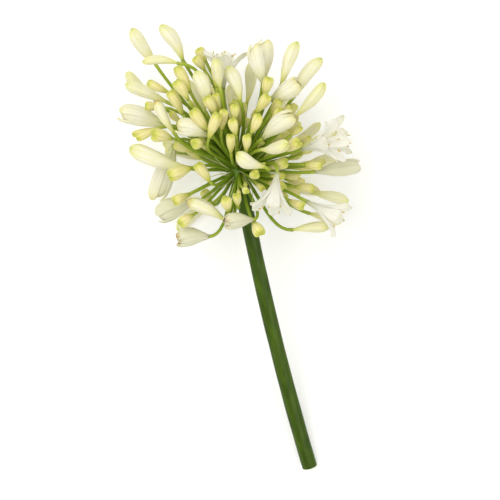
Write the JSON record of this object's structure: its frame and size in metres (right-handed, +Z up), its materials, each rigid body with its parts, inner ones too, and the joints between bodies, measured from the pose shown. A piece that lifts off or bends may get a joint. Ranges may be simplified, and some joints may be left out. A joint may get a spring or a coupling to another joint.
{
  "type": "agapanthus flower head",
  "caption": "Cut agapanthus flower head, lying down: a round umbel of white and cream buds and open flowers on slender green stalks, on a short smooth green stem.",
  "frame": {"origin": "on the surface it lies on, straight under the middle of the umbel, on the pressed flat spot of the bud that carries the head there", "axes": "+Z up from the surface, +Y from the cut end of the stem towards the flower head, +X to the right as seen from above with the head away from the viewer"},
  "size_m": [0.1684, 0.3618, 0.1337],
  "materials": {
    "scape": "smooth green plant stem with a faint waxy gloss",
    "umbel": "green stalks and soft satin cream buds with yellow-green tips",
    "open_flower": "thin soft white petals with a satin surface"
  },
  "bodies": {
    "root": {"scape": "scape", "umbel": "umbel", "open_flower_01": "open_flower", "open_flower_02": "open_flower", "open_flower_03": "open_flower", "open_flower_04": "open_flower", "open_flower_05": "open_flower", "open_flower_06": "open_flower"}
  },
  "joints": []
}
